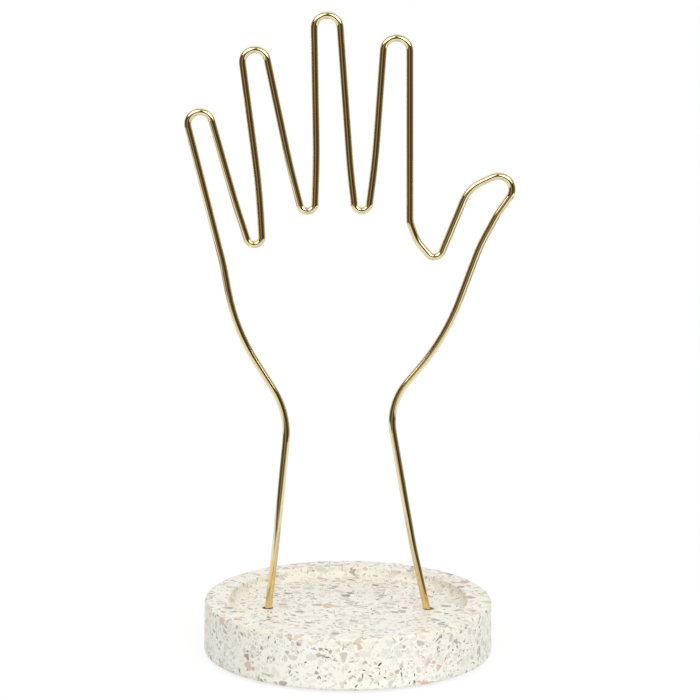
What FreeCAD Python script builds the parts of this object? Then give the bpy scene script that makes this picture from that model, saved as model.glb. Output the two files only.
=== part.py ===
import FreeCAD, Part
import math
import os

import Sketcher

# A jewellery stand: the outline of an open hand, bent from one length of round wire, stands in a
# round terrazzo dish. X runs across the hand, Y from front to back and Z up. The wire lies in the
# plane Y = 0. The origin is on the axis of the dish, at the level of the table under the felt pads.

os.makedirs("parts", exist_ok=True)
doc = FreeCAD.newDocument("hand_stand")

# Driving sizes in millimetres. Each bend is the radius of the wire's centre line.
SIZES = {
    "dish_diameter": 120.0,
    "dish_height": 22.0,
    "dish_draft": 0.3,
    "rim_width": 10.5,
    "recess_depth": 4.2,
    "recess_cove": 3.2,
    "rim_rounding": 0.8,
    "edge_rounding": 1.6,
    "foot_rounding": 1.4,
    "hole_diameter": 4.6,
    "hole_depth": 6.2,
    "leg_spacing": 67.0,
    "leg_end_gap": 0.6,
    "wire_diameter": 3.0,
    "hand_breadth": 135.0,
    "hand_height": 251.4,
    "leg_bend": 250.0,
    "wrist_left_bend": 36.0,
    "wrist_right_bend": 26.0,
    "palm_left_bend": 85.0,
    "palm_right_bend": 97.0,
    "little_side_bend": 90.0,
    "finger_side_bend": 300.0,
    "little_tip_bend": 5.0,
    "ring_tip_bend": 5.1,
    "middle_tip_bend": 5.3,
    "index_tip_bend": 5.4,
    "finger_web_bend": 3.1,
    "index_knuckle_bend": 8.0,
    "web_slope_bend": 14.0,
    "thumb_web_bend": 3.4,
    "thumb_knuckle_bend": 15.0,
    "thumb_tip_bend": 5.6,
    "thumb_pad_bend": 20.0,
    "thumb_heel_bend": 70.0,
    "glue_shortfall": 0.4,
    "felt_diameter": 14.0,
    "felt_thickness": 1.2,
    "felt_ring_diameter": 92.0,
}

# The bends in the order in which the wire passes them, from the left leg to the right one. A corner
# is where two straight runs would cross, and the bend rounds it off. At a tip or a web the wire turns
# back round a centre, clockwise at a tip and the other way at a web. Each row gives the bend's name,
# its kind, the size of its radius, the breadth that its place follows, its share of that breadth to
# the right of the middle, and its share of the hand's height above the floor of the dish.
BEND_SHARES = (
    ("leg_left", "corner", "leg_bend", "leg_spacing", -0.449, 0.112),
    ("wrist_left", "corner", "wrist_left_bend", "leg_spacing", -0.372, 0.333),
    ("palm_left", "corner", "palm_left_bend", "hand_breadth", -0.348, 0.474),
    ("little_side", "corner", "little_side_bend", "hand_breadth", -0.384, 0.581),
    ("little_tip", "tip", "little_tip_bend", "hand_breadth", -0.454, 0.815),
    ("little_right_side", "corner", "finger_side_bend", "hand_breadth", -0.348, 0.685),
    ("little_web", "web", "finger_web_bend", "hand_breadth", -0.290, 0.628),
    ("ring_left_side", "corner", "finger_side_bend", "hand_breadth", -0.275, 0.709),
    ("ring_tip", "tip", "ring_tip_bend", "hand_breadth", -0.288, 0.917),
    ("ring_right_side", "corner", "finger_side_bend", "hand_breadth", -0.182, 0.745),
    ("ring_web", "web", "finger_web_bend", "hand_breadth", -0.129, 0.684),
    ("middle_left_side", "corner", "finger_side_bend", "hand_breadth", -0.102, 0.764),
    ("middle_tip", "tip", "middle_tip_bend", "hand_breadth", -0.071, 0.973),
    ("middle_right_side", "corner", "finger_side_bend", "hand_breadth", 0.000, 0.745),
    ("middle_web", "web", "finger_web_bend", "hand_breadth", 0.036, 0.685),
    ("index_left_side", "corner", "finger_side_bend", "hand_breadth", 0.076, 0.756),
    ("index_tip", "tip", "index_tip_bend", "hand_breadth", 0.138, 0.936),
    ("index_knuckle", "corner", "index_knuckle_bend", "hand_breadth", 0.182, 0.654),
    ("web_slope", "corner", "web_slope_bend", "hand_breadth", 0.204, 0.623),
    ("thumb_web", "web", "thumb_web_bend", "hand_breadth", 0.257, 0.610),
    ("thumb_knuckle", "corner", "thumb_knuckle_bend", "hand_breadth", 0.359, 0.711),
    ("thumb_tip", "tip", "thumb_tip_bend", "hand_breadth", 0.449, 0.709),
    ("thumb_pad", "corner", "thumb_pad_bend", "hand_breadth", 0.446, 0.667),
    ("thumb_heel", "corner", "thumb_heel_bend", "hand_breadth", 0.394, 0.614),
    ("palm_right", "corner", "palm_right_bend", "hand_breadth", 0.293, 0.461),
    ("wrist_right", "corner", "wrist_right_bend", "leg_spacing", 0.242, 0.349),
    ("leg_right", "corner", "leg_bend", "leg_spacing", 0.401, 0.108),
)

# Heights above the table that several pieces share.
DISH_TOP = "sizes.felt_thickness + sizes.dish_height"
FLOOR = f"{DISH_TOP} - sizes.recess_depth"
HOLE_MIDDLE = f"{FLOOR} - sizes.hole_depth / 2"
LEG_END = f"{FLOOR} - sizes.hole_depth + sizes.leg_end_gap"
INNER_RADIUS = "sizes.dish_diameter / 2 - sizes.rim_width"

sizes = doc.addObject("Spreadsheet::Sheet", "sizes")
for row, (alias, length) in enumerate(SIZES.items(), start=1):
    sizes.set(f"A{row}", alias)
    sizes.set(f"B{row}", str(length))
    sizes.setAlias(f"B{row}", alias)
doc.recompute()


def measure(expression):
    """Work out an expression on the sheet and give its value in millimetres."""
    return float(sizes.evalExpression(expression.replace("sizes.", "")))


def new_body(label):
    body = doc.addObject("PartDesign::Body", label)
    body.Label = label
    return body


def new_sketch(body, name, plane_role):
    """Start a sketch on one of the body's own origin planes."""
    sketch = body.newObject("Sketcher::SketchObject", name)
    plane = next(feature for feature in body.Origin.OriginFeatures if feature.Role == plane_role)
    sketch.AttachmentSupport = [(plane, "")]
    sketch.MapMode = "FlatFace"
    return sketch


def dimension(sketch, name, expression, kind, *where):
    """Add one dimension to a sketch and bind it to the sheet."""
    index = sketch.addConstraint(Sketcher.Constraint(kind, *where, measure(expression)))
    sketch.renameConstraint(index, name)
    sketch.setExpression(f"Constraints.{name}", expression)


def place_point(sketch, name, geometry, point, across, up):
    """Hold a point of a sketch at two distances from the sketch's origin."""
    dimension(sketch, f"{name}_across", across, "DistanceX", geometry, point)
    dimension(sketch, f"{name}_up", up, "DistanceY", geometry, point)


def sketch_circle(sketch, name, diameter, across, up):
    """Draw one circle whose diameter and centre come from the sheet."""
    centre = FreeCAD.Vector(measure(across), measure(up), 0)
    circle = Part.Circle(centre, FreeCAD.Vector(0, 0, 1), measure(diameter) / 2)
    index = sketch.addGeometry(circle, False)
    dimension(sketch, f"{name}_diameter", diameter, "Diameter", index)
    place_point(sketch, name, index, 3, across, up)


# Terrazzo dish

def dish_profile(body):
    """Half of the dish's section, with sharp corners: underside, side, rim, wall and floor."""
    radius = "sizes.dish_diameter / 2"
    corners = (
        ("axis_bottom", "0 mm", "sizes.felt_thickness"),
        ("side_bottom", radius, "sizes.felt_thickness"),
        ("side_top", f"{radius} - sizes.dish_draft", DISH_TOP),
        ("rim_inside", INNER_RADIUS, DISH_TOP),
        ("floor_edge", INNER_RADIUS, FLOOR),
        ("axis_floor", "0 mm", FLOOR),
    )
    sketch = new_sketch(body, "dish_profile", "XZ_Plane")
    points = [FreeCAD.Vector(measure(across), measure(up), 0) for _, across, up in corners]
    following = points[1:] + points[:1]
    lines = [Part.LineSegment(start, end) for start, end in zip(points, following)]
    sketch.addGeometry(lines, False)
    count = len(lines)
    for index, (name, across, up) in enumerate(corners):
        sketch.addConstraint(Sketcher.Constraint("Coincident", index, 2, (index + 1) % count, 1))
        place_point(sketch, name, index, 1, across, up)
    return sketch


def round_edge(body, name, radius, across, up):
    """Round the circular edge of the body that lies at this radius and height."""
    doc.recompute()
    previous = body.Tip
    wanted = (measure(across), measure(up))

    def distance(edge):
        if not isinstance(edge.Curve, Part.Circle):
            return math.inf
        return math.dist((edge.Curve.Radius, edge.Curve.Center.z), wanted)

    edges = previous.Shape.Edges
    nearest = min(range(len(edges)), key=lambda index: distance(edges[index]))
    fillet = body.newObject("PartDesign::Fillet", name)
    fillet.Base = (previous, [f"Edge{nearest + 1}"])
    fillet.setExpression("Radius", radius)


def make_dish():
    """A turned block with a sunken floor, soft edges and one blind hole for each leg."""
    body = new_body("terrazzo_dish")
    turned = body.newObject("PartDesign::Revolution", "dish_block")
    turned.Profile = dish_profile(body)
    turned.ReferenceAxis = (turned.Profile[0], ["V_Axis"])
    turned.Angle = 360
    radius = "sizes.dish_diameter / 2"
    round_edge(body, "cove", "sizes.recess_cove", INNER_RADIUS, FLOOR)
    round_edge(body, "inner_edge", "sizes.rim_rounding", INNER_RADIUS, DISH_TOP)
    round_edge(body, "outer_edge", "sizes.edge_rounding", f"{radius} - sizes.dish_draft", DISH_TOP)
    round_edge(body, "lower_edge", "sizes.foot_rounding", radius, "sizes.felt_thickness")
    doc.recompute()
    solid_volume = body.Shape.Volume

    circles = new_sketch(body, "hole_circles", "XY_Plane")
    circles.setExpression("AttachmentOffset.Base.z", FLOOR)
    sketch_circle(circles, "left_hole", "sizes.hole_diameter", "-sizes.leg_spacing / 2", "0 mm")
    sketch_circle(circles, "right_hole", "sizes.hole_diameter", "sizes.leg_spacing / 2", "0 mm")
    holes = body.newObject("PartDesign::Pocket", "leg_holes")
    holes.Profile = circles
    holes.setExpression("Length", "sizes.hole_depth")
    doc.recompute()
    removed = solid_volume - body.Shape.Volume
    expected = 2 * math.pi / 4 * measure("sizes.hole_diameter ^ 2 * sizes.hole_depth")
    assert abs(removed / expected - 1) < 0.01, "the leg holes are not cut into the floor"
    return body


# Bent wire

def left_of(angle):
    """The unit vector that points to the left of a direction of travel."""
    return FreeCAD.Vector(-math.sin(angle), math.cos(angle), 0)


def along(angle):
    return FreeCAD.Vector(math.cos(angle), math.sin(angle), 0)


def bend_places():
    """Name, kind, radius and place of each bend, the last three as expressions on the sheet."""
    places = [("hole_left", "end", "0 mm", "-sizes.leg_spacing / 2", HOLE_MIDDLE)]
    for name, kind, radius, breadth, across_share, up_share in BEND_SHARES:
        across = f"sizes.{breadth} * ({across_share})"
        up = f"{FLOOR} + sizes.hand_height * {up_share}"
        places.append((name, kind, f"sizes.{radius}", across, up))
    places.append(("hole_right", "end", "0 mm", "sizes.leg_spacing / 2", HOLE_MIDDLE))
    return places


def straight_runs(places):
    """Each run as its start, its end and its direction, drawn tight between two bends.

    A run touches the circle of a tip on its left, because the wire turns clockwise there, and that
    of a web on its right. It goes to the point itself at a corner or an end.
    """
    side = {"tip": 1, "web": -1, "corner": 0, "end": 0}
    centres = [FreeCAD.Vector(measure(across), measure(up), 0) for *_, across, up in places]
    reach = [side[kind] * measure(radius) for _, kind, radius, *_ in places]
    runs = []
    for index in range(len(places) - 1):
        gap = centres[index + 1] - centres[index]
        angle = math.atan2(gap.y, gap.x) - math.asin((reach[index] - reach[index + 1]) / gap.Length)
        start = centres[index] + left_of(angle) * reach[index]
        end = centres[index + 1] + left_of(angle) * reach[index + 1]
        runs.append((start, end, angle))
    return runs


def bend_arc(place, run_in, run_out):
    """Where a bend starts and ends, its centre, and whether the wire turns left there."""
    _, kind, radius, *_ = place
    radius = measure(radius)
    angle_in = run_in[2]
    angle_out = run_out[2]
    turn = (angle_out - angle_in + math.pi) % (2 * math.pi) - math.pi
    if kind == "corner":
        trim = radius * math.tan(abs(turn) / 2)
        start = run_in[1] - along(angle_in) * trim
        end = run_out[0] + along(angle_out) * trim
        turns_left = turn > 0
    else:
        start = run_in[1]
        end = run_out[0]
        turns_left = kind == "web"
    centre = start + left_of(angle_in) * (radius if turns_left else -radius)
    return start, end, centre, turns_left


def wire_path(body):
    """The centre line of the wire: straight runs and tangent arcs, held by named dimensions."""
    sketch = new_sketch(body, "wire_path", "XZ_Plane")
    places = bend_places()
    runs = straight_runs(places)
    bends = places[1:-1]
    arcs = [bend_arc(place, runs[i], runs[i + 1]) for i, place in enumerate(bends)]

    def leg_end(run):
        """The point of a leg's line that lies at the level of the wire's cut end."""
        start, _, angle = run
        rise = measure(LEG_END) - start.y
        return start + along(angle) * (rise / math.sin(angle))

    starts = [leg_end(runs[0])] + [end for _, end, _, _ in arcs]
    ends = [start for start, _, _, _ in arcs] + [leg_end(runs[-1])]
    lines = [sketch.addGeometry(Part.LineSegment(a, b), False) for a, b in zip(starts, ends)]

    for index, (place, arc) in enumerate(zip(bends, arcs)):
        name, kind, radius, across, up = place
        start, end, centre, turns_left = arc
        first, last = (start, end) if turns_left else (end, start)
        from_angle = math.atan2(first.y - centre.y, first.x - centre.x)
        to_angle = math.atan2(last.y - centre.y, last.x - centre.x)
        circle = Part.Circle(centre, FreeCAD.Vector(0, 0, 1), measure(radius))
        curve = sketch.addGeometry(Part.ArcOfCircle(circle, from_angle, to_angle), False)
        entry, leaving = (1, 2) if turns_left else (2, 1)
        line_in, line_out = lines[index], lines[index + 1]
        sketch.addConstraint(Sketcher.Constraint("Tangent", line_in, 2, curve, entry))
        sketch.addConstraint(Sketcher.Constraint("Tangent", curve, leaving, line_out, 1))
        dimension(sketch, f"{name}_radius", radius, "Radius", curve)
        if kind == "corner":
            corner = FreeCAD.Vector(measure(across), measure(up), 0)
            mark = sketch.addGeometry(Part.Point(corner), True)
            sketch.addConstraint(Sketcher.Constraint("PointOnObject", mark, 1, line_in))
            sketch.addConstraint(Sketcher.Constraint("PointOnObject", mark, 1, line_out))
            place_point(sketch, name, mark, 1, across, up)
        else:
            place_point(sketch, name, curve, 3, across, up)

    for place, line, tip in ((places[0], lines[0], 1), (places[-1], lines[-1], 2)):
        name, _, _, across, up = place
        middle = FreeCAD.Vector(measure(across), measure(up), 0)
        mark = sketch.addGeometry(Part.Point(middle), True)
        sketch.addConstraint(Sketcher.Constraint("PointOnObject", mark, 1, line))
        place_point(sketch, name, mark, 1, across, up)
        dimension(sketch, f"{name}_cut", LEG_END, "DistanceY", line, tip)
    return sketch


def make_wire():
    """A round section swept along the centre line."""
    body = new_body("hand_wire")
    path = wire_path(body)
    doc.recompute()
    section = body.newObject("Sketcher::SketchObject", "wire_section")
    section.AttachmentSupport = [(path, "Edge1")]
    section.MapMode = "NormalToEdge"
    sketch_circle(section, "wire", "sizes.wire_diameter", "0 mm", "0 mm")
    doc.recompute()
    wire = body.newObject("PartDesign::AdditivePipe", "bent_wire")
    wire.Profile = section
    wire.Spine = (path, [])
    doc.recompute()
    length = path.Shape.Length
    expected = math.pi / 4 * measure("sizes.wire_diameter ^ 2") * length
    print(f"wire length {length:.1f} mm, volume over section times length {body.Shape.Volume / expected:.4f}")
    assert abs(body.Shape.Volume / expected - 1) < 0.01, "the wire is not swept along its whole path"
    return body


# Glue and felt

def make_glue(side, across, wire):
    """The adhesive in one hole: the hole's room less the leg that stands in it."""
    core = doc.addObject("Part::Cylinder", f"glue_core_{side}")
    core.setExpression("Radius", "sizes.hole_diameter / 2")
    core.setExpression("Height", "sizes.hole_depth - sizes.glue_shortfall")
    core.setExpression("Placement.Base.x", across)
    core.setExpression("Placement.Base.z", f"{FLOOR} - sizes.hole_depth")
    plug = doc.addObject("Part::Cut", f"glue_plug_{side}")
    plug.Label = f"glue_plug_{side}"
    plug.Base = core
    plug.Tool = wire
    return plug


def make_felt(name, across_sign, depth_sign):
    """One round felt pad between the dish and the table."""
    pad = doc.addObject("Part::Cylinder", name)
    pad.Label = name
    pad.setExpression("Radius", "sizes.felt_diameter / 2")
    pad.setExpression("Height", "sizes.felt_thickness")
    reach = "sizes.felt_ring_diameter / 2 / sqrt(2)"
    pad.setExpression("Placement.Base.x", f"{across_sign} * {reach}")
    pad.setExpression("Placement.Base.y", f"{depth_sign} * {reach}")
    return pad


dish = make_dish()
wire = make_wire()
pieces = [dish, wire]
pieces.append(make_glue("left", "-sizes.leg_spacing / 2", wire))
pieces.append(make_glue("right", "sizes.leg_spacing / 2", wire))
for depth_name, depth_sign in (("front", -1), ("back", 1)):
    for across_name, across_sign in (("left", -1), ("right", 1)):
        pieces.append(make_felt(f"felt_pad_{depth_name}_{across_name}", across_sign, depth_sign))
doc.recompute()

for item in doc.Objects:
    faults = {"Invalid", "Error"} & set(item.State)
    assert not faults, f"{item.Name} did not recompute: {item.State}"
for piece in pieces:
    shape = piece.Shape
    assert not shape.isNull() and shape.isValid(), f"{piece.Label} has no valid shape"
    shape.exportStep(f"parts/{piece.Label}.step")
    box = shape.optimalBoundingBox(False, False)
    print(f"{piece.Label}: {len(shape.Solids)} solid, {box.XLength:.1f} x {box.YLength:.1f} x {box.ZLength:.1f} mm")
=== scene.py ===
# %% [markdown]
# # A hand of brass wire in a terrazzo dish
#
# The object is a stand for rings and bracelets. One length of brass wire is bent into the outline of
# an open hand, and its two ends are glued into a shallow dish of cast terrazzo.
#
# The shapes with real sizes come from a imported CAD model, which is loaded first and never changed.
# This lesson gives those shapes their finishes, builds the small soft and poured pieces that CAD left
# plain, and sets up a small studio round them.

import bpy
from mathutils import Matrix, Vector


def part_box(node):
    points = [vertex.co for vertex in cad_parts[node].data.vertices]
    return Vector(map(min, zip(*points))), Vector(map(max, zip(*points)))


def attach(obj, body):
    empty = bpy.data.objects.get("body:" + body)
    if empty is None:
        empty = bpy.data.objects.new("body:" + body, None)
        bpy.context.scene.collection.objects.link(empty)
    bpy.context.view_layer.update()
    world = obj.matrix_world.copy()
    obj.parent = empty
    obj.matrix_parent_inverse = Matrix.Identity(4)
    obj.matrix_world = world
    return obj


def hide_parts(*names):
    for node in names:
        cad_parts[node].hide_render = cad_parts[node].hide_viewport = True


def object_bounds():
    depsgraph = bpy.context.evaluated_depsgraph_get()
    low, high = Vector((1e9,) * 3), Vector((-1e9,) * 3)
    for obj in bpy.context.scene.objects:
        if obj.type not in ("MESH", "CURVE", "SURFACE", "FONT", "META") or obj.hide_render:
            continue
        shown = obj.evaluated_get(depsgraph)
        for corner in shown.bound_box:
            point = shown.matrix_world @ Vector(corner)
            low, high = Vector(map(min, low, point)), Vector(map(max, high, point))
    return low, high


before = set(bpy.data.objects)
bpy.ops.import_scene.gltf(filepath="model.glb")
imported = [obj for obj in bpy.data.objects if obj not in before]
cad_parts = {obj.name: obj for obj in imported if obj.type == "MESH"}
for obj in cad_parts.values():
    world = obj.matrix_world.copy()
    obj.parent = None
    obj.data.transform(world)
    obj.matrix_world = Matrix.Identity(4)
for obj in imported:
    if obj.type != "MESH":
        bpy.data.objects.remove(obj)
cad_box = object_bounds()
print("CAD nodes:", ", ".join(sorted(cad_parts)))

# %% [markdown]
# ## Tools and units
#
# Blender works in metres here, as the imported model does. A drawing is easier to read in millimetres,
# so lengths are written as a number times `MM`.

# %% Modules and the millimetre
import math

import bmesh
import bpy
from mathutils import Quaternion, Vector, noise

MM = 0.001
low, high = cad_box
print("object, in mm:", [round(side / MM, 1) for side in high - low])

# %% [markdown]
# ## The camera
#
# The photograph was taken from about two metres away with a long lens, a little above the dish, so
# that the rim shows as a flat ellipse. The same distance, height and focal length give the same
# ellipse here. The picture leans by a quarter of a degree, which is a turn about the camera's own
# axis.

# %% Camera at the photograph's place
DISTANCE = 2.0
ELEVATION = math.radians(12.85)
PICTURE_LEAN = math.radians(0.28)
FOCAL_LENGTH = 250.0  # in the lens maker's millimetres, for a sensor 36 wide
SENSOR_WIDTH = 36.0
FARTHEST_SEEN = 20.0
SIGHT_HEIGHT = 138.2 * MM
AIM = Vector((0.3 * MM, 0.0, 129.5 * MM))


def aimed(place, target, lean=0.0):
    """The turn that makes a camera or a lamp at a place look at a target."""
    straight = (target - place).to_track_quat("-Z", "Y")
    return straight @ Quaternion((0.0, 0.0, 1.0), lean)


camera_data = bpy.data.cameras.new("camera")
camera_data.lens = FOCAL_LENGTH
camera_data.sensor_width = SENSOR_WIDTH
camera_data.clip_end = FARTHEST_SEEN
camera = bpy.data.objects.new("camera", camera_data)
back = Vector((0.0, -math.cos(ELEVATION), math.sin(ELEVATION)))
camera.location = Vector((0.0, 0.0, SIGHT_HEIGHT)) + back * DISTANCE
camera.rotation_mode = "QUATERNION"
camera.rotation_quaternion = aimed(camera.location, AIM, PICTURE_LEAN)
bpy.context.scene.collection.objects.link(camera)
bpy.context.scene.camera = camera
bpy.context.scene.view_settings.view_transform = "Standard"
print("camera at", [round(value, 3) for value in camera.location])

# %% [markdown]
# ## Shader helpers
#
# A material is a small network of nodes. Building it in code gets long, so one helper fills a node's
# sockets, either with a plain value or with another node's output, and another adds a node. Colours
# are picked as ordinary 0 to 255 swatches and turned into the linear numbers that a shader wants.

# %% Helpers for single nodes
WHITE = (1.0, 1.0, 1.0, 1.0)


def feed(tree, node, sockets):
    """Fill a node's sockets, each by its name or number."""
    for name, value in sockets.items():
        if isinstance(value, bpy.types.NodeSocket):
            tree.links.new(value, node.inputs[name])
        else:
            node.inputs[name].default_value = value


def put(tree, kind, sockets=None, **settings):
    """Add a node, set its plain settings by name, and fill its sockets."""
    made = tree.nodes.new(kind)
    for name, value in settings.items():
        setattr(made, name, value)
    feed(tree, made, sockets or {})
    return made


def glow(tree, strength, colour=WHITE):
    """A surface that only glows."""
    return put(tree, "ShaderNodeEmission", {"Color": colour, "Strength": strength}).outputs[0]


def swatch(red, green, blue):
    """A linear colour with alpha from a 0 to 255 swatch."""
    parts = [value / 255 for value in (red, green, blue)]
    linear = [p / 12.92 if p <= 0.04045 else ((p + 0.055) / 1.055) ** 2.4 for p in parts]
    return (*linear, 1.0)


print("a middle grey swatch is", round(swatch(128, 128, 128)[0], 3), "in linear light")

# %% [markdown]
# The next helpers do arithmetic on values, on places and on directions, map one range of values on
# to another, and mix colours.

# %% Helpers for values and colours


def math_of(tree, operation, *values, clamp=False):
    """Arithmetic on shader values. More than two values are worked through from left to right."""
    result = values[0]
    for value in values[1:] or (0.0,):
        sockets = {0: result, 1: value}
        result = put(tree, "ShaderNodeMath", sockets, operation=operation, use_clamp=clamp).outputs[0]
    return result


def vector_of(tree, operation, sockets):
    """Arithmetic on places and directions."""
    return put(tree, "ShaderNodeVectorMath", sockets, operation=operation).outputs


def apart_of(tree, places):
    """The X, Y and Z of a place, each by its letter."""
    return put(tree, "ShaderNodeSeparateXYZ", {0: places}).outputs


def stretch(tree, value, low, high, to_low=0.0, to_high=1.0, smooth=False):
    """Map a range of values on to another range, and stop at its ends."""
    sockets = {"Value": value, "From Min": low, "From Max": high, "To Min": to_low, "To Max": to_high}
    kind = "SMOOTHSTEP" if smooth else "LINEAR"
    return put(tree, "ShaderNodeMapRange", sockets, interpolation_type=kind).outputs["Result"]


def lay_over(tree, under, over, share, blend_type="MIX"):
    """Lay one colour over another by a share from 0 to 1."""
    sockets = {0: share, 6: under, 7: over}
    mix = put(tree, "ShaderNodeMix", sockets, data_type="RGBA", blend_type=blend_type)
    return mix.outputs[2]


print("arithmetic helpers ready")

# %% [markdown]
# The last helpers start a finish and give it noise and relief. A noise's scale counts its waves to
# the metre, so 1000 waves are one millimetre each. Most of its values lie between 0.3 and 0.7, which
# is why such numbers come back in the ranges below.

# %% Helpers for finishes


def noise_of(tree, places, scale, detail, **more):
    """A noise in space: its output Fac is a value, and its output Color is three of them."""
    sockets = {"Vector": places, "Scale": scale, "Detail": detail, **more}
    return put(tree, "ShaderNodeTexNoise", sockets).outputs


def dent(tree, shader, height, strength, depth):
    """Shade a surface as if it had a relief of this depth. Its shape stays as it is."""
    relief = put(tree, "ShaderNodeBump", {"Height": height, "Strength": strength, "Distance": depth})
    feed(tree, shader, {"Normal": relief.outputs[0]})


def new_finish(name):
    """Start a material and return it with its tree, its Principled shader and its coordinates."""
    finish = bpy.data.materials.new(name)
    finish.use_nodes = True
    tree = finish.node_tree
    shader = tree.nodes["Principled BSDF"]
    places = put(tree, "ShaderNodeTexCoord").outputs["Object"]
    return finish, tree, shader, places


print("finish helpers ready")

# %% [markdown]
# ## A white table
#
# The photograph shows pure white all round. More light would bleach the dish, so the white comes
# from the table's own material instead. What the camera sees of the table is mostly a plain glow of
# strength one. Near the dish some of it is real shading, which keeps a soft contact shadow. Light
# that bounces from the table on to the object still comes from an ordinary matt white.
#
# The table is a long white board with a rounded end, and that end is close in front of the dish. It
# matters for the metal: the lower legs of the wire mirror the white board and look golden, while
# higher up they look past it into the dim room and turn olive brown.

# %% Shape of the table
TABLE_SIDEWAYS = -0.04
TABLE_HALF_WIDTH = 0.36
TABLE_FRONT = 0.205
TABLE_BACK = 4.0
TABLE_EDGE = 1.08  # the board reaches this share past its half width and its front


def mesh_piece(name, shape):
    """Turn a finished bmesh into an object at the origin."""
    data = bpy.data.meshes.new(name)
    shape.to_mesh(data)
    shape.free()
    piece = bpy.data.objects.new(name, data)
    bpy.context.scene.collection.objects.link(piece)
    return piece


shape = bmesh.new()
bmesh.ops.create_circle(shape, cap_ends=True, radius=TABLE_EDGE, segments=96)
bmesh.ops.scale(shape, vec=(TABLE_HALF_WIDTH, TABLE_FRONT, 1.0), verts=shape.verts)
bmesh.ops.translate(shape, vec=(TABLE_SIDEWAYS, 0.0, 0.0), verts=shape.verts)
back_half = [vert for vert in shape.verts if vert.co.y > 0.0]
bmesh.ops.translate(shape, vec=(0.0, TABLE_BACK, 0.0), verts=back_half)
table = mesh_piece("table", shape)
print("table", round(2 * TABLE_EDGE * TABLE_HALF_WIDTH, 2), "m wide")

# %% [markdown]
# ### The table as the camera sees it
#
# To the camera the table has a matt, shaded part near the dish, and turns into the plain glow farther
# out. The shaded part glows too, just enough to end up white where no shadow falls.

# %% What the camera sees of the table
REAL_SHADING = (0.10, 0.26)  # metres from the middle, from mostly real shading to plain glow
SHADED_GREY = (0.22, 0.22, 0.22, 1.0)
SHADED_GLOW = 0.81

table_white = bpy.data.materials.new("table_white")
table_white.use_nodes = True
tree = table_white.node_tree
tree.nodes.clear()
place = put(tree, "ShaderNodeTexCoord").outputs["Object"]
apart = apart_of(tree, place)

grey = put(tree, "ShaderNodeBsdfDiffuse", {"Color": SHADED_GREY}).outputs[0]
shaded = put(tree, "ShaderNodeAddShader", {0: grey, 1: glow(tree, SHADED_GLOW)}).outputs[0]
away = vector_of(tree, "LENGTH", {0: place})["Value"]
far = stretch(tree, away, *REAL_SHADING, smooth=True)
seen = put(tree, "ShaderNodeMixShader", {0: far, 1: shaded, 2: glow(tree, 1.0)}).outputs[0]
print("the camera sees shading out to", REAL_SHADING[1], "m")

# %% [markdown]
# ### The table as the metal sees it
#
# Metal sees the board as a white glow that fades towards its edge. Straight behind the dish a narrow
# wedge of the board is dim to mirrored rays. From the front only the very edge of a wire shows it,
# but seen from behind it draws the dark line that polished metal needs.
#
# A range of four numbers, here and below, is what `stretch` maps: two values, and what they become.

# %% What the metal sees of the table
BOARD_FADE = (0.80, TABLE_EDGE, 1.0, 0.12)
WEDGE_TURN = (math.radians(16), math.radians(34), 0.10, 1.0)
WEDGE_BEGINNING = (0.08, 0.24, 1.0, 0.0)
FRONT_STRIP = (-0.16, -0.04, 0.84, 1.0)

sideways = math_of(tree, "SUBTRACT", apart["X"], TABLE_SIDEWAYS)
across = math_of(tree, "DIVIDE", sideways, TABLE_HALF_WIDTH)
forward = math_of(tree, "DIVIDE", math_of(tree, "MINIMUM", apart["Y"], 0.0), TABLE_FRONT)
squares = [math_of(tree, "POWER", reach, 2.0) for reach in (across, forward)]
outward = math_of(tree, "SQRT", math_of(tree, "ADD", *squares))
fading = stretch(tree, outward, *BOARD_FADE, smooth=True)
turn = math_of(tree, "ABSOLUTE", math_of(tree, "ARCTAN2", apart["X"], apart["Y"]))
beside = stretch(tree, turn, *WEDGE_TURN, smooth=True)
near_dish = stretch(tree, apart["Y"], *WEDGE_BEGINNING, smooth=True)
wedge = math_of(tree, "MAXIMUM", beside, near_dish)
in_front = stretch(tree, apart["Y"], *FRONT_STRIP, smooth=True)
mirrored = glow(tree, math_of(tree, "MULTIPLY", fading, wedge, in_front))
print("the board fades to", BOARD_FADE[3], "at its edge")

# %% [markdown]
# ### One material for both
#
# The Light Path node tells which kind of ray asks. Camera and mirrored rays get their own look, and
# every other ray, which carries the light from the table to the object, gets the matt white.

# %% Join the table's looks
MATT_WHITE = (0.845, 0.85, 0.865, 1.0)


def seen_rays(tree):
    """One where a ray comes from the camera, a mirror or a clear body, and nought elsewhere."""
    path = put(tree, "ShaderNodeLightPath").outputs
    kinds = (path["Is Camera Ray"], path["Is Glossy Ray"], path["Is Transmission Ray"])
    return math_of(tree, "ADD", *kinds, clamp=True)


in_metal = put(tree, "ShaderNodeLightPath").outputs["Is Glossy Ray"]
look = put(tree, "ShaderNodeMixShader", {0: in_metal, 1: seen, 2: mirrored}).outputs[0]
matt = put(tree, "ShaderNodeBsdfDiffuse", {"Color": MATT_WHITE}).outputs[0]
both = put(tree, "ShaderNodeMixShader", {0: seen_rays(tree), 1: matt, 2: look}).outputs[0]
put(tree, "ShaderNodeOutputMaterial", {"Surface": both})
table.data.materials.append(table_white)
print("table finish has", len(tree.nodes), "nodes")

# %% [markdown]
# ## White surroundings
#
# The world stands for everything beyond the table. To the camera it is plain white. To matt surfaces
# it is a soft, slightly warm light, stronger from overhead, which fills the shadows and keeps the
# top of the dish nearly as light as its side. A little more comes from low behind, so that the back
# of the dish isn't left grey. The far left is dimmer, because the dish darkens towards its left edge.

# %% White surroundings
SOFT_WHITE = (0.99, 0.99, 0.965, 1.0)
OVERHEAD_LIGHT = (0.35, 1.0, 0.40, 0.72)
BACK_LIGHT = (0.15, 0.95, 0.0, 0.32)
LEFT_LOSS = (-1.0, -0.45, -0.32, 0.0)

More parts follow.
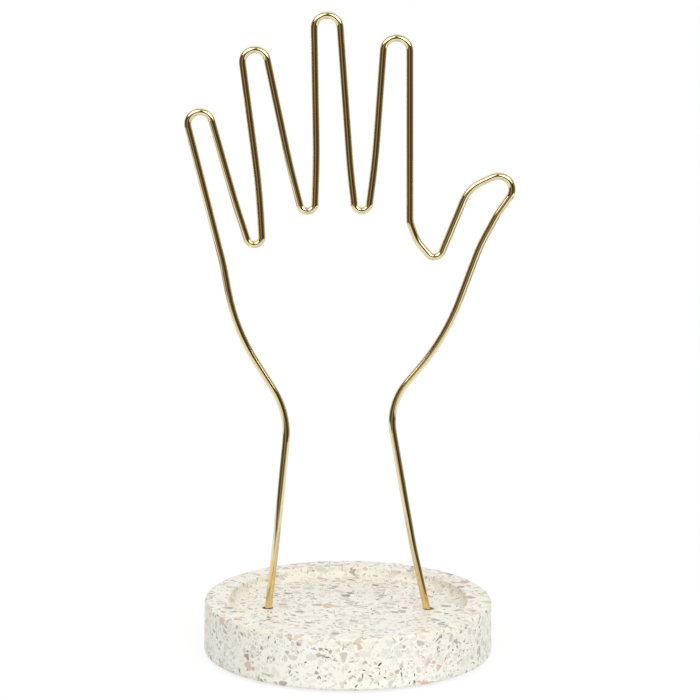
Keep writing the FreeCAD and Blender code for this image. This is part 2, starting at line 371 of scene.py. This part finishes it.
world = bpy.data.worlds.new("surroundings")
world.use_nodes = True
bpy.context.scene.world = world
tree = world.node_tree
tree.nodes.clear()
way = apart_of(tree, put(tree, "ShaderNodeTexCoord").outputs["Generated"])
overhead = stretch(tree, way["Z"], *OVERHEAD_LIGHT, smooth=True)
behind = stretch(tree, way["Y"], *BACK_LIGHT, smooth=True)
far_left = stretch(tree, way["X"], *LEFT_LOSS, smooth=True)
strength = math_of(tree, "ADD", overhead, behind, far_left)
white = put(tree, "ShaderNodeBackground", {"Color": WHITE, "Strength": 1.0}).outputs[0]
soft = put(tree, "ShaderNodeBackground", {"Color": SOFT_WHITE, "Strength": strength}).outputs[0]
mixed = put(tree, "ShaderNodeMixShader", {0: seen_rays(tree), 1: soft, 2: white}).outputs[0]
put(tree, "ShaderNodeOutputWorld", {"Surface": mixed})
print("soft light", OVERHEAD_LIGHT[2], "from the sides and", OVERHEAD_LIGHT[3], "from overhead")

# %% [markdown]
# ## The dim room
#
# Polished metal has almost no colour of its own: it shows what stands round it. In the photograph
# the wire is mostly dark brown with one lighter streak a little to the left, so the room in front was
# dim, with something pale in it just left of the camera. A curved card stands for that room. It is
# brown and dim, has that pale streak, and gets lighter towards its ends and overhead. Its foot is
# white, like a pale floor beyond the table, and gives the slanting wires their cream lower edges. It
# exists only for mirrored rays, so it takes no light from the dish and never crosses a view.

# %% The room as a curved card
CARD_RADIUS = 1.6
CARD_SPREAD = math.radians(235)
CARD_STEPS = 60
CARD_PROFILE = (
    (CARD_RADIUS, -1.6),
    (CARD_RADIUS, 0.9),
    (1.2, 1.6),
    (0.5, 2.0),
    (0.05, 2.05),
)


def mirrored_only(thing):
    """Hide a stage piece from every ray but the mirrored ones."""
    thing.visible_camera = False
    thing.visible_diffuse = False
    thing.visible_transmission = False
    thing.visible_shadow = False


def spin(shape, line, middle, angle, steps, use_merge):
    """Join points to a line and spin it round an upright axis."""
    edges = [shape.edges.new(pair) for pair in zip(line, line[1:])]
    bmesh.ops.spin(
        shape, geom=line + edges, axis=(0, 0, 1), cent=middle,
        angle=angle, steps=steps, use_merge=use_merge,
    )


start_way = Vector((-math.sin(CARD_SPREAD / 2), -math.cos(CARD_SPREAD / 2), 0.0))
shape = bmesh.new()
corners = [
    shape.verts.new(start_way * reach + Vector((0.0, 0.0, height))) for reach, height in CARD_PROFILE
]
spin(shape, corners, (0, 0, 0), CARD_SPREAD, CARD_STEPS, use_merge=False)
room_card = mesh_piece("room_card", shape)
mirrored_only(room_card)
print("room card spans", round(math.degrees(CARD_SPREAD)), "degrees")

# %% [markdown]
# ### What is painted on the card
#
# A bearing is an angle in degrees, nought straight in front of the dish and growing to the right.
# Each range below turns two bearings or heights into the strengths of the glow there.

# %% Finish of the room card
STREAK_BEARING = -17.0
STREAK = (6.0, 15.0, 0.22, 0.0)
RIGHT_END = (40.0, 105.0, 0.0, 0.20)
LEFT_END = (-115.0, -70.0, 0.14, 0.0)
UPPER_PART = (0.6, 1.7, 0.0, 0.28)
WHITE_FOOT = (-0.53, -0.38, 1.0, 0.0)
BROWN = (-30.0, 15.0, 0.105, 0.066)
BROWN_TINT = (1.0, 0.65, 0.25, 1.0)

room_dim = bpy.data.materials.new("room_dim")
room_dim.use_nodes = True
tree = room_dim.node_tree
tree.nodes.clear()
place = apart_of(tree, put(tree, "ShaderNodeTexCoord").outputs["Object"])
ahead = math_of(tree, "MULTIPLY", place["Y"], -1.0)
radians = math_of(tree, "ARCTAN2", place["X"], ahead)
bearing = math_of(tree, "MULTIPLY", radians, math.degrees(1.0))
from_streak = math_of(tree, "ABSOLUTE", math_of(tree, "SUBTRACT", bearing, STREAK_BEARING))
painted = (
    (from_streak, STREAK),
    (bearing, RIGHT_END),
    (bearing, LEFT_END),
    (place["Z"], UPPER_PART),
    (place["Z"], WHITE_FOOT),
)
pale = math_of(tree, "ADD", *[stretch(tree, value, *span, smooth=True) for value, span in painted])
brown = stretch(tree, bearing, *BROWN, smooth=True)
card_look = put(tree, "ShaderNodeAddShader", {0: glow(tree, brown, BROWN_TINT), 1: glow(tree, pale)})
put(tree, "ShaderNodeOutputMaterial", {"Surface": card_look.outputs[0]})
room_card.data.materials.append(room_dim)
print("room card has", len(painted), "pale parts")

# %% [markdown]
# ## Two softboxes
#
# The bright marks on the shoulders of every bend show two broad lamps, one on each side of the
# camera and a little above it. The right one is the stronger, because that side of the dish is
# lighter. Large lamps give the dish its soft shading without hard shadows.

# %% Softboxes
OBJECT_MIDDLE = Vector((0.0, 0.0, 0.12))
LAMP_DISTANCE = 1.3
LAMP_WIDTH = 1.10


def softbox(name, sideways, elevation, height, watts):
    """A rectangular lamp that faces the object from an angle to the right of the camera."""
    data = bpy.data.lights.new(name, "AREA")
    data.shape = "RECTANGLE"
    data.size = LAMP_WIDTH
    data.size_y = height
    data.energy = watts
    lamp = bpy.data.objects.new(name, data)
    turn, rise = math.radians(sideways), math.radians(elevation)
    level = math.cos(rise)
    way = Vector((math.sin(turn) * level, -math.cos(turn) * level, math.sin(rise)))
    lamp.location = OBJECT_MIDDLE + way * LAMP_DISTANCE
    lamp.rotation_mode = "QUATERNION"
    lamp.rotation_quaternion = aimed(lamp.location, OBJECT_MIDDLE)
    lamp.visible_camera = False
    bpy.context.scene.collection.objects.link(lamp)
    return lamp


left_softbox = softbox("left_softbox", sideways=-37, elevation=38, height=0.76, watts=6.7)
right_softbox = softbox("right_softbox", sideways=36, elevation=31, height=0.80, watts=7.9)
print("softboxes:", *[round(lamp.data.energy, 1) for lamp in (left_softbox, right_softbox)], "W")

# %% [markdown]
# ## Terrazzo
#
# Terrazzo is white cement filled with crushed stone, cast in a mould and then ground and polished,
# so its surface is a flat cut through a block of angular chips. A three-dimensional cell pattern cut
# by the surface does just that. Each layer of cells is one size of stone. A random number per cell
# says whether a stone lies there, another shrinks it, and a third picks its colour.

# %% Chips of one size
CHIP_BEVEL = 0.03  # the soft edge of a chip, as a share of its cell


def stone_chips(tree, places, size, kept, gaps, shift, squash):
    """Chips cut from cells of one size: returns where stone shows and a random number per chip.

    kept is the share of the cells that hold a stone, and gaps the narrowest and the widest edge of
    cement round it, as shares of the cell. A shift moves the pattern. A squash is a turn and a scale
    along each axis, where less than 1 makes the chips longer.
    """
    turn, scale = squash
    sockets = {"Vector": places, "Location": shift, "Rotation": turn, "Scale": scale}
    moved = put(tree, "ShaderNodeMapping", sockets).outputs[0]
    sockets = {"Vector": moved, "Scale": 1.0 / size, "Randomness": 1.0}
    cell = put(tree, "ShaderNodeTexVoronoi", sockets, feature="F1").outputs
    wall = put(tree, "ShaderNodeTexVoronoi", sockets, feature="DISTANCE_TO_EDGE").outputs
    random = put(tree, "ShaderNodeSeparateColor", {0: cell["Color"]}).outputs
    held = math_of(tree, "LESS_THAN", random["Red"], kept)
    gap = stretch(tree, random["Green"], 0.0, 1.0, *gaps)
    depth = math_of(tree, "SUBTRACT", wall["Distance"], gap)
    edge = stretch(tree, depth, 0.0, CHIP_BEVEL, smooth=True)
    return math_of(tree, "MULTIPLY", edge, held), random["Blue"]


print("chip layers can be cut")

# %% [markdown]
# A colour ramp without blending turns the random number of a chip into one of a few tones, as stone
# from a few quarries would give.

# %% Pick a tone


def palette(tree, chance, tones):
    """Pick one tone by a random number, each with its share of the range."""
    ramp = put(tree, "ShaderNodeValToRGB", {"Fac": chance})
    ramp.color_ramp.interpolation = "CONSTANT"
    stops = ramp.color_ramp.elements
    start = 0.0
    for index, (share, tone) in enumerate(tones):
        stop = stops[0] if index == 0 else stops.new(start)
        stop.position = start
        stop.color = swatch(*tone)
        start += share
    stops.remove(stops[-1])
    return ramp.outputs["Color"]


print("tones can be picked")

# %% [markdown]
# ### Splinters
#
# Crushed stone also leaves a few dark splinters, long and thin, which lie every way. Each one sits in
# the middle of a cell of its own and is turned by the cell's random number. It is a long box with its
# corners cut off: the reach is 1 on its faces, so everything below 1 is stone.

# %% A splinter in each kept cell
SPLINTER_CELL = 3.0 * MM
SPLINTERS_KEPT = 0.44
SPLINTER_HALF_SIZES = (1.8 * MM, 0.80 * MM, 0.28 * MM)
CELL_DISORDER = 0.8  # 0 would set the cells in a regular grid
TURNS = 40.0  # makes a random number between 0 and 1 an angle of many turns
CORNER_CUT = 0.72  # more cuts off more of each corner
SPLINTER_BEVEL = 0.9  # the reach inside which a splinter has its full colour


def splinters(tree, places):
    """Splinters, one to a cell: returns where they show and a random number for each."""
    sockets = {"Vector": places, "Scale": 1.0 / SPLINTER_CELL, "Randomness": CELL_DISORDER}
    cell = put(tree, "ShaderNodeTexVoronoi", sockets, feature="F1").outputs
    from_middle = vector_of(tree, "SUBTRACT", {0: places, 1: cell["Position"]})[0]
    angles = vector_of(tree, "SCALE", {0: cell["Color"], "Scale": TURNS})[0]
    sockets = {"Vector": from_middle, "Rotation": angles}
    turned = put(tree, "ShaderNodeVectorRotate", sockets, rotation_type="EULER_XYZ").outputs[0]
    shares = vector_of(tree, "DIVIDE", {0: turned, 1: SPLINTER_HALF_SIZES})[0]
    part = apart_of(tree, vector_of(tree, "ABSOLUTE", {0: shares})[0])
    box = math_of(tree, "MAXIMUM", part["X"], part["Y"], part["Z"])
    corners = math_of(tree, "ADD", part["X"], part["Y"], part["Z"])
    reach = math_of(tree, "MAXIMUM", box, math_of(tree, "MULTIPLY", corners, CORNER_CUT))
    random = put(tree, "ShaderNodeSeparateColor", {0: cell["Color"]}).outputs
    held = math_of(tree, "LESS_THAN", random["Red"], SPLINTERS_KEPT)
    stone = stretch(tree, reach, 1.0, SPLINTER_BEVEL)
    return math_of(tree, "MULTIPLY", stone, held), random["Blue"]


print("splinters can be cut")

# %% [markdown]
# ### Tones and layers
#
# Each kind of stone is a share of its layer and a swatch. Most of them are hardly darker than the
# cement; a few are pink, tan or brown grey.

# %% Tones and layers of the stones
FINE_STONES = (
    (0.40, (230, 227, 216)),
    (0.27, (220, 215, 201)),
    (0.18, (236, 229, 212)),
    (0.15, (203, 192, 179)),
)
SMALL_STONES = (
    (0.26, (228, 225, 214)),
    (0.20, (217, 211, 201)),
    (0.12, (235, 228, 210)),
    (0.13, (200, 191, 180)),
    (0.09, (205, 176, 158)),
    (0.10, (179, 163, 149)),
    (0.06, (156, 145, 134)),
    (0.04, (220, 198, 166)),
)
MIDDLE_STONES = (
    (0.30, (229, 226, 216)),
    (0.20, (218, 212, 203)),
    (0.10, (236, 230, 214)),
    (0.13, (201, 193, 183)),
    (0.10, (208, 178, 160)),
    (0.09, (177, 161, 148)),
    (0.05, (142, 133, 124)),
    (0.03, (205, 173, 138)),
)
BIG_STONES = (
    (0.28, (219, 190, 172)),
    (0.14, (200, 172, 155)),
    (0.30, (215, 209, 198)),
    (0.12, (216, 190, 160)),
    (0.16, (178, 167, 157)),
)
SPLINTER_TONES = (
    (0.45, (84, 79, 75)),
    (0.30, (118, 108, 99)),
    (0.27, (160, 128, 112)),
)
AS_CUT = ((0.0, 0.0, 0.0), (1.0, 1.0, 1.0))
SMALL_SQUASH = ((0.4, 0.2, 0.9), (0.8, 1.0, 1.0))
MIDDLE_SQUASH = ((0.3, 0.5, 1.9), (0.74, 1.0, 0.9))
# Each layer: cell size, share kept, narrowest and widest gap, shift, squash and tones.
LAYERS = (
    (1.0 * MM, 0.45, (0.04, 0.26), (0.006, 0.002, 0.009), AS_CUT, FINE_STONES),
    (1.8 * MM, 0.44, (0.04, 0.26), (0.0, 0.0, 0.0), SMALL_SQUASH, SMALL_STONES),
    (2.8 * MM, 0.40, (0.03, 0.26), (0.017, 0.012, 0.019), MIDDLE_SQUASH, MIDDLE_STONES),
    (4.4 * MM, 0.05, (0.05, 0.20), (0.004, 0.011, 0.006), AS_CUT, BIG_STONES),
)
print("stone layers, in mm:", [round(size / MM, 1) for size, *rest in LAYERS])

# %% [markdown]
# ### Cement and stones
#
# The cement is slightly cloudy and has grains of sand in it. A fine noise bends the stones' edges,
# so that they aren't ruler straight.

# %% Lay the stones in the cement
PALE_CEMENT, WARM_CEMENT = swatch(245, 243, 235), swatch(242, 238, 227)
SAND = swatch(226, 219, 205)
EDGE_WOBBLE = 0.28 * MM

terrazzo, tree, shader, places = new_finish("terrazzo")
wobble = noise_of(tree, places, scale=900.0, detail=1.0)["Color"]
centred = vector_of(tree, "SUBTRACT", {0: wobble, 1: (0.5, 0.5, 0.5)})[0]
small_step = vector_of(tree, "SCALE", {0: centred, "Scale": EDGE_WOBBLE})[0]
rough_places = vector_of(tree, "ADD", {0: places, 1: small_step})[0]

cloud = noise_of(tree, places, scale=60.0, detail=3.0)["Fac"]
sand = noise_of(tree, places, scale=2600.0, detail=2.0)["Fac"]
cement = lay_over(tree, PALE_CEMENT, WARM_CEMENT, stretch(tree, cloud, 0.35, 0.7))
cement = lay_over(tree, cement, SAND, stretch(tree, sand, 0.58, 0.75, 0.0, 0.5))

colour = cement
cuts = []
for *cut, tones in LAYERS:
    shown, chance = stone_chips(tree, rough_places, *cut)
    colour = lay_over(tree, colour, palette(tree, chance, tones), shown)
    cuts.append(shown)
print("cement and", len(cuts), "layers of stone take", len(tree.nodes), "nodes")

# %% [markdown]
# ### Skin, splinters and grain
#
# The top is ground, so its chips are bare and show their full colour. The side is as it came from the
# mould, with a thin skin of cement that veils the chips. Splinters are laid only where no larger
# stone lies, and every stone has a grain of its own.

# %% Skin, splinters and grain
MOULDED_SIDE = (59.3 * MM, 59.8 * MM)
VEIL = (0.35, 0.65, 0.06, 0.28)
GRAIN_TINT = (0.84, 0.83, 0.80, 1.0)

apart = apart_of(tree, places)
flat = put(tree, "ShaderNodeCombineXYZ", {"X": apart["X"], "Y": apart["Y"]}).outputs[0]
radius = vector_of(tree, "LENGTH", {0: flat})["Value"]
skin = math_of(tree, "MULTIPLY", stretch(tree, radius, *MOULDED_SIDE), stretch(tree, cloud, *VEIL))
colour = lay_over(tree, colour, cement, skin)

shown, chance = splinters(tree, rough_places)
larger = math_of(tree, "MAXIMUM", *cuts[2:])
shown = math_of(tree, "MINIMUM", shown, math_of(tree, "SUBTRACT", 1.0, larger))
colour = lay_over(tree, colour, palette(tree, chance, SPLINTER_TONES), shown)
stone = math_of(tree, "MAXIMUM", *cuts, shown)

grain = noise_of(tree, rough_places, scale=1500.0, detail=4.0, Roughness=0.65)["Fac"]
grainy = math_of(tree, "MULTIPLY", stone, stretch(tree, grain, 0.42, 0.72))
colour = lay_over(tree, colour, GRAIN_TINT, grainy, "MULTIPLY")
print("with splinters and grain it is", len(tree.nodes), "nodes")

# %% [markdown]
# ### Pinholes, sealer, painted shade and polish
#
# A few bubbles of air in the cement were cut open as pinholes, which are darkened with painted shade.

# %% Pinholes
PINHOLE_CELL = 1.8 * MM
PINHOLE_SIZE = (0.05, 0.08, 1.0, 0.0)
PINHOLE_SHADE_TINT = (0.62, 0.58, 0.50, 1.0)

sockets = {"Vector": places, "Scale": 1.0 / PINHOLE_CELL}
spots = put(tree, "ShaderNodeTexVoronoi", sockets, feature="F1").outputs["Distance"]
in_cement = math_of(tree, "SUBTRACT", 1.0, stone)
pinhole = math_of(tree, "MULTIPLY", stretch(tree, spots, *PINHOLE_SIZE), in_cement)
# Painted shade: the pinholes are darkened by a multiplied tint.
colour = lay_over(tree, colour, PINHOLE_SHADE_TINT, pinhole, "MULTIPLY")
print("pinholes up to", round(2 * PINHOLE_SIZE[1] * PINHOLE_CELL / MM, 2), "mm across")

# %% [markdown]
# Cement paste and the sealer that closes the pores gather a little in the cove and on the front of
# the rim's outer edge, where they half hide the chips. The cream tint over the same places is
# painted shade, which darkens the cove and the front of the rim's edge. Stone takes a better polish
# than cement, and stands a hair above it.

# %% Sealer, painted shade and polish
COVE_OUTWARD = (45.0 * MM, 48.0 * MM)
COVE_INWARD = (50.6 * MM, 49.6 * MM)
SEALER_AND_SHADE_IN_COVE = 0.65
RIM_EDGE_OUTWARD = (57.5 * MM, 59.0 * MM)
RIM_EDGE_UPWARD = (20.8 * MM, 22.4 * MM)
SEALER_AND_SHADE_AT_FRONT = (-46.0 * MM, -28.0 * MM, 0.85, 0.2)
PAINTED_SHADE_TINT = (0.955, 0.94, 0.885, 1.0)
SEALER_HIDES = 0.5
POLISH = (0.0, 1.0, 0.46, 0.30)
PINHOLE_DEPTH = 3.0  # in steps between cement and stone

cove_sides = [stretch(tree, radius, *span) for span in (COVE_OUTWARD, COVE_INWARD)]
in_cove = math_of(tree, "MULTIPLY", *cove_sides, SEALER_AND_SHADE_IN_COVE)
outer, upper = stretch(tree, radius, *RIM_EDGE_OUTWARD), stretch(tree, apart["Z"], *RIM_EDGE_UPWARD)
at_front = stretch(tree, apart["Y"], *SEALER_AND_SHADE_AT_FRONT, smooth=True)
on_rim = math_of(tree, "MULTIPLY", outer, upper, at_front)
sealer_and_shade = math_of(tree, "ADD", in_cove, on_rim, clamp=True)
colour = lay_over(tree, colour, cement, math_of(tree, "MULTIPLY", sealer_and_shade, SEALER_HIDES))
# Painted shade: the cream tint darkens the cove and the front of the rim's outer edge.
colour = lay_over(tree, colour, PAINTED_SHADE_TINT, sealer_and_shade, "MULTIPLY")
feed(tree, shader, {"Base Color": colour, "IOR": 1.5, "Roughness": stretch(tree, stone, *POLISH)})
surface = math_of(tree, "SUBTRACT", stone, math_of(tree, "MULTIPLY", pinhole, PINHOLE_DEPTH))
dent(tree, shader, surface, strength=0.35, depth=0.03 * MM)

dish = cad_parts["terrazzo_dish"]
dish.data.materials.clear()
dish.data.materials.append(terrazzo)
print("terrazzo has", len(tree.nodes), "nodes")

# %% [markdown]
# ## Brass wire
#
# The wire is polished and lacquered brass. A metal's base colour is the tint of its reflections, and
# a low roughness keeps them crisp. Real wire is drawn through a die, so faint lines run along it and
# break the reflections a little. A noise that is stretched upwards gives them. Towards the foot of
# each leg the base colour turns a deeper, darker gold, which is painted shade for the dimmer
# reflection there.

# %% The brass finish
PALE_BRASS, FULL_BRASS = (0.875, 0.755, 0.475, 1.0), (0.84, 0.705, 0.41, 1.0)
SHADED_FOOT_GOLD = (0.80, 0.60, 0.275, 1.0)
FOOT_SHADE_HEIGHTS = (30.0 * MM, 43.0 * MM, 1.0, 0.0)
LINE_STRETCH = 0.02

brass, tree, shader, places = new_finish("brass")
drift = noise_of(tree, places, scale=70.0, detail=3.0)["Fac"]
tone = lay_over(tree, PALE_BRASS, FULL_BRASS, stretch(tree, drift, 0.35, 0.7))
# Painted shade: a darker gold towards the foot of each leg.
foot = stretch(tree, apart_of(tree, places)["Z"], *FOOT_SHADE_HEIGHTS, smooth=True)
tone = lay_over(tree, tone, SHADED_FOOT_GOLD, foot)
roughness = stretch(tree, drift, 0.3, 0.7, 0.04, 0.08)
feed(tree, shader, {"Base Color": tone, "Metallic": 1.0, "Roughness": roughness})
sockets = {"Vector": places, "Scale": (1.0, 1.0, LINE_STRETCH)}
upwards = put(tree, "ShaderNodeMapping", sockets).outputs[0]
drawn = noise_of(tree, upwards, scale=1800.0, detail=2.0)["Fac"]
dent(tree, shader, drawn, strength=0.08, depth=0.02 * MM)

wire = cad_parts["hand_wire"]
wire.data.materials.clear()
wire.data.materials.append(brass)
print("brass has", len(tree.nodes), "nodes")

# %% [markdown]
# ## Glue in the holes
#
# Each leg stands in a drilled hole that is wider than the wire, and amber glue fills the gap. A
# filled hole is round, so it is easiest to draw one outline and spin it. The spin leaves the outline's
# first and last points many times over on the axis, and merging them closes the solid.

# %% Spin a solid from an outline
SAME_POINT = 0.001 * MM


def middle_of(name):
    """The upright middle line of a CAD node's box, as a point at height nought."""
    low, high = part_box(name)
    return Vector(((low.x + high.x) / 2, (low.y + high.y) / 2, 0.0))


def spun_solid(outline, middle, steps):
    """Spin an outline of radius and height, in mm, round an upright axis, and close its poles."""
    shape = bmesh.new()
    line = [
        shape.verts.new((middle.x + radius * MM, middle.y, height * MM)) for radius, height in outline
    ]
    spin(shape, line, middle, math.tau, steps, use_merge=True)
    bmesh.ops.remove_doubles(shape, verts=shape.verts, dist=SAME_POINT)
    bmesh.ops.recalc_face_normals(shape, faces=shape.faces)
    return shape


def smooth(piece):
    """Shade a piece's faces smoothly."""
    for face in piece.data.polygons:
        face.use_smooth = True
    return piece


plug_middles = {side: middle_of("glue_plug_" + side) for side in ("left", "right")}
print("holes at X", [round(middle.x / MM, 2) for middle in plug_middles.values()], "mm")

# %% [markdown]
# Poured glue creeps up whatever it touches, so its top is a shallow trough between the wire and the
# stone. The leg leans in its hole, so the ring's inner wall is sheared over to the wire once the
# outline is spun.

# %% A bead of glue round each leg
HOLE_RADIUS = 2.3 * MM
WIRE_RADIUS = 1.5 * MM
FLOOR_LEVEL = 19.0 * MM
# Each leg: where its middle line crosses the dish's floor, and its lean to the right per height.
LEGS = {"left": (-33.16 * MM, 0.1093), "right": (32.82 * MM, -0.2193)}
BEAD_STEPS = 64
# The bead from its bottom up the hole's wall, over the trough and down the wire: radius, height.
BEAD_OUTLINE = (
    (0.0, 12.8), (2.05, 12.8), (2.3, 13.05), (2.3, 16.0), (2.3, 18.86), (2.24, 18.74),
    (2.12, 18.62), (1.97, 18.56), (1.82, 18.58), (1.68, 18.68), (1.57, 18.84), (1.5, 19.02),
    (1.49, 18.7), (1.49, 16.0), (1.49, 13.4), (0.0, 13.4),
)

glue_beads = []
for side, (leg_at_floor, lean) in LEGS.items():
    middle = plug_middles[side]
    shape = spun_solid(BEAD_OUTLINE, middle, BEAD_STEPS)
    for vert in shape.verts:
        out = (vert.co - middle).to_2d().length
        share = min(max((HOLE_RADIUS - out) / (HOLE_RADIUS - WIRE_RADIUS), 0.0), 1.0)
        vert.co.x += share * (leg_at_floor + lean * (vert.co.z - FLOOR_LEVEL) - middle.x)
    bead = smooth(mesh_piece("glue_bead_" + side, shape))
    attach(bead, "root")
    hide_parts("glue_plug_" + side)
    glue_beads.append(bead)
print("glue beads:", [round(bead.dimensions.z / MM, 2) for bead in glue_beads], "mm tall")

# %% [markdown]
# Set glue is clear enough to let light in a little way. It is cloudy, and small bubbles dent it.

# %% The glue's finish
DARK_AMBER, PALE_AMBER = swatch(110, 78, 32), swatch(156, 118, 58)
LIGHT_REACH = (1.0, 0.45, 0.15)  # red light goes deepest

glue, tree, shader, places = new_finish("amber_glue")
streaks = noise_of(tree, places, scale=700.0, detail=3.0)["Fac"]
amber = lay_over(tree, DARK_AMBER, PALE_AMBER, stretch(tree, streaks, 0.35, 0.68))
sockets = {"Vector": places, "Scale": 2200.0}
bubbles = put(tree, "ShaderNodeTexVoronoi", sockets, feature="SMOOTH_F1").outputs["Distance"]
dent(tree, shader, stretch(tree, bubbles, 0.0, 0.22, smooth=True), strength=0.3, depth=0.02 * MM)
glue_look = {
    "Base Color": amber,
    "Roughness": stretch(tree, streaks, 0.3, 0.7, 0.16, 0.3),
    "IOR": 1.5,
    "Subsurface Weight": 0.25,
    "Subsurface Radius": LIGHT_REACH,
    "Subsurface Scale": 0.6 * MM,
}
feed(tree, shader, glue_look)
for bead in glue_beads:
    bead.data.materials.append(glue)
print("glue has", len(tree.nodes), "nodes")

# %% [markdown]
# ## Felt pads
#
# A stone dish would scratch a table, so four discs of pressed felt are stuck under it. They are cut
# with a die from a sheet. The cut edge is a little furry and bellies out where the dish's weight
# squeezes it, and a thin film of adhesive holds the disc. A spun outline gives the disc and its film,
# and a fixed noise, the same in every run, loosens the cut edge.

# %% Cut the four pads
PAD_NODES = [f"felt_pad_{depth}_{side}" for depth in ("front", "back") for side in ("left", "right")]
PAD_STEPS = 96
# The pad from the middle of its foot out to the cut edge, and back over the adhesive film.
PAD_OUTLINE = (
    (0.0, 0.0), (2.0, 0.0), (4.0, 0.0), (5.6, 0.0), (6.4, 0.02), (6.75, 0.1), (6.92, 0.28),
    (6.97, 0.5), (6.94, 0.72), (6.86, 0.9), (6.78, 1.02), (6.72, 1.06), (6.72, 1.2), (5.0, 1.2),
    (2.5, 1.2), (0.0, 1.2),
)
CUT_EDGE = 6.3 * MM
FILM_BOTTOM = 1.0 * MM
FUR_WAVES = ((1.0, 900.0), (0.5, 2600.0))  # share, and waves to the metre
FUR_HEIGHT = 0.06 * MM
FUR_LOSS = 0.03 * MM

felt_pads = []
for name in PAD_NODES:
    middle = middle_of(name)
    shape = spun_solid(PAD_OUTLINE, middle, PAD_STEPS)
    for vert in shape.verts:
        out = (vert.co - middle).to_2d()
        if out.length > CUT_EDGE and vert.co.z < FILM_BOTTOM:
            furry = sum(share * noise.noise(vert.co * waves) for share, waves in FUR_WAVES)
            vert.co += out.to_3d().normalized() * (furry * FUR_HEIGHT - FUR_LOSS)
    pad = smooth(mesh_piece("felt_disc" + name.removeprefix("felt_pad"), shape))
    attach(pad, "root")
    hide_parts(name)
    felt_pads.append(pad)
print("felt pads:", [round(pad.dimensions.x / MM, 2) for pad in felt_pads], "mm across")

# %% [markdown]
# Felt is a mat of hairs. A twisted noise draws them, a broader one gathers them in tufts, and a
# little sheen lights their tips. The adhesive film on top is pale and smoother.

# %% The felt's finish
DARK_WOOL, PALE_WOOL = swatch(186, 178, 164), swatch(214, 207, 194)
GAPS_IN_WOOL = swatch(152, 143, 130)
FILM_COLOUR = swatch(226, 222, 210)
FILM_HEIGHTS = (1.05 * MM, 1.07 * MM)

felt, tree, shader, places = new_finish("pressed_felt")
hairs = noise_of(tree, places, scale=1500.0, detail=5.0, Roughness=0.7, Distortion=2.5)["Fac"]
tufts = noise_of(tree, places, scale=260.0, detail=3.0)["Fac"]
wool = lay_over(tree, DARK_WOOL, PALE_WOOL, stretch(tree, tufts, 0.35, 0.68))
wool = lay_over(tree, wool, GAPS_IN_WOOL, stretch(tree, hairs, 0.52, 0.7, 0.0, 0.7))
film = stretch(tree, apart_of(tree, places)["Z"], *FILM_HEIGHTS)
dent(tree, shader, hairs, strength=0.9, depth=0.12 * MM)
felt_look = {
    "Base Color": lay_over(tree, wool, FILM_COLOUR, film),
    "Roughness": stretch(tree, film, 0.0, 1.0, 0.95, 0.4),
    "Sheen Weight": 0.35,
    "Sheen Roughness": 0.5,
}
feed(tree, shader, felt_look)
for pad in felt_pads:
    pad.data.materials.append(felt)
print("felt has", len(tree.nodes), "nodes")
